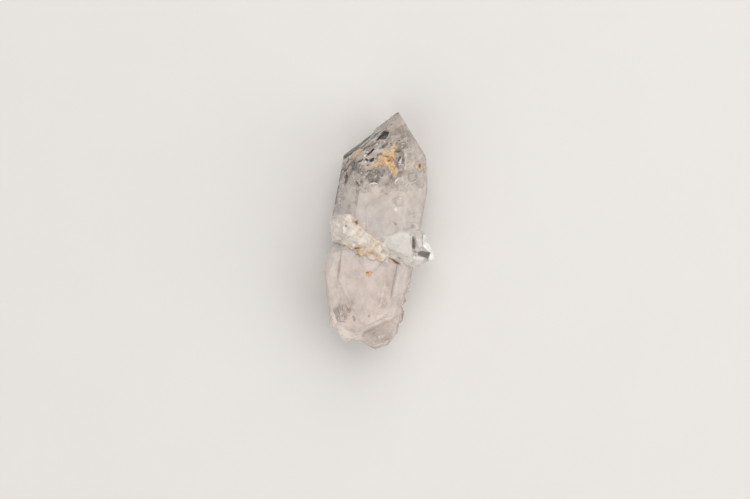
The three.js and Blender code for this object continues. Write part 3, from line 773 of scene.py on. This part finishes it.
def healedVeils():
    shape = bmesh.new()
    rowsX, rowsY = veil["rows"]
    for centre, half, (tip, turn) in veil["places"]:
        made = bmesh.ops.create_grid(shape, x_segments=rowsX, y_segments=rowsY, size=1.0)["verts"]
        swing = Matrix.Rotation(math.radians(turn), 3, "Z") @ Matrix.Rotation(math.radians(tip), 3, "X")
        for v in made:
            reach = v.co.xy.length
            if reach > 0:  # drawn in from a square to an oval with a ragged rim
                rim = 0.85 + 0.3 * noise.noise(Vector((v.co.x, v.co.y, 0)) / reach * 1.5 + Vector(centre))
                v.co.xy *= max(abs(v.co.x), abs(v.co.y)) / reach * rim
            flat = Vector((v.co.x * half[0], v.co.y * half[1], 0))
            flat.z = veil["wave"] * noise.noise(flat * 0.8 + Vector(centre))
            v.co = (Vector(centre) + swing @ flat + axisPlace) * mm
    return newPiece("healed_veils", shape, veilFinish())


crumb = {
    "sizes": (0.05, 0.17),  # radius in millimetres
    "perArea": 26,  # for each square millimetre of stain
    "flatness": 0.55,
    "uneven": (0.8, 1.15),
    "steepest": 0.2,  # none on a face that is turned further away than this
    "above": 20,  # where they fall from
    "rough": 0.9,
    "grainStrength": 0.5,
    "grainDepth": 0.03,
    "seed": 23,
}


def clayFinish():
    earth = Finish("ochre_clay")
    spots = earth.spots()
    grit = earth.cloud(spots, 0.22, 4, 0.7)
    middle = earth.cloud(spots, 0.9, 3)
    tint = earth.blend(earth.ease(grit, 0.35, 0.65), quartz["clayColour"], quartz["clayPale"])
    tint = earth.blend(earth.ease(middle, 0.55, 0.75, 0.0, 0.6), tint, quartz["clayDark"])
    deep = gather(earth, spots, seen["deepClay"], 1.2)
    tint = earth.blend(deep * 0.9, tint, quartz["clayDark"])
    earth.show(earth.node("BsdfPrincipled", {}, {
        "Base Color": tint, "Roughness": crumb["rough"],
        "Normal": earth.node("Bump", {}, {
            "Height": grit, "Strength": crumb["grainStrength"], "Distance": crumb["grainDepth"] * mm})}))
    return earth.material


def clayCrumbs(crystal):
    ground = BVHTree.FromPolygons([v.co for v in crystal.data.vertices],
                                  [p.vertices for p in crystal.data.polygons])
    luck = random.Random(crumb["seed"])
    shape = bmesh.new()
    for x, y, long, wide, turn, strength in seen["clay"]:
        count = int(long * wide * math.pi * crumb["perArea"] * strength * strength)
        for _ in range(count):
            angle, reach = luck.uniform(0, 2 * math.pi), abs(luck.gauss(0, 0.5))
            along, across = long * reach * math.cos(angle), wide * reach * math.sin(angle)
            lean = math.radians(turn)
            spot = place(x + along * math.cos(lean) - across * math.sin(lean),
                         y + along * math.sin(lean) + across * math.cos(lean), crumb["above"])
            hit, normal, _, _ = ground.ray_cast(spot, Vector((0, 0, -1)))
            if hit is None or normal.z < crumb["steepest"]:
                continue
            size = luck.uniform(*crumb["sizes"]) * (1.2 - 0.5 * min(reach, 1))
            made = bmesh.ops.create_icosphere(shape, subdivisions=1, radius=size * mm)["verts"]
            facing = normal.to_track_quat("Z", "Y").to_matrix()
            spin = Matrix.Rotation(luck.uniform(0, 6.28), 3, "Z")
            for v in made:
                v.co *= luck.uniform(*crumb["uneven"])
                v.co.z *= crumb["flatness"]
                v.co = hit + facing @ (spin @ v.co)
    return newPiece("clay_crumbs", shape, clayFinish(), smooth=False)


growthHollows()
healedVeils()
clayCrumbs(crystal)

studio = {
    "floorColour": (0.74, 0.73, 0.715),
    "floorSize": 3.0,
    "floorRough": 0.7,
    "speckSize": 0.02,
    "speckShade": 0.97,
    "worldColour": (1.0, 0.98, 0.96),
    "worldStrength": 0.34,
    "lamps": [
        {"from": (0.10, 0.60, 0.75), "size": 1.3, "power": 6.6, "colour": (1.0, 0.965, 0.93)},
        {"from": (0.80, -0.06, 0.50), "size": 0.95, "power": 3.4, "colour": (1.0, 0.97, 0.95)},
        {"from": (-0.30, -0.75, 0.75), "size": 1.4, "power": 5.6, "colour": (1.0, 0.965, 0.93)},
    ],
}


def setStudio():
    bpy.ops.mesh.primitive_plane_add(size=studio["floorSize"], location=(0, 0, 0))
    floor = bpy.context.object
    floor.name = "floor"
    pale = Finish("pale_floor")
    speck = pale.cloud(pale.node("TexCoord", out=3), studio["speckSize"], 3)
    dark = tuple(value * studio["speckShade"] for value in studio["floorColour"])
    pale.show(pale.node("BsdfPrincipled", {}, {
        "Base Color": pale.blend(speck, studio["floorColour"], dark),
        "Roughness": studio["floorRough"]}))
    floor.data.materials.append(pale.material)
    for index, lamp in enumerate(studio["lamps"]):
        data = bpy.data.lights.new(f"lamp{index}", "AREA")
        data.shape = "DISK"
        data.size = lamp["size"]
        data.energy = lamp["power"]
        data.color = lamp["colour"]
        made = bpy.data.objects.new(f"lamp{index}", data)
        bpy.context.collection.objects.link(made)
        made.location = lamp["from"]
        made.rotation_euler = (-Vector(lamp["from"])).to_track_quat("-Z", "Y").to_euler()
    world = bpy.data.worlds.new("world")
    world.use_nodes = True
    back = world.node_tree.nodes["Background"]
    back.inputs["Color"].default_value = (*studio["worldColour"], 1)
    back.inputs["Strength"].default_value = studio["worldStrength"]
    bpy.context.scene.world = world
    bpy.context.scene.view_settings.view_transform = "Standard"


setStudio()
print("studio set")
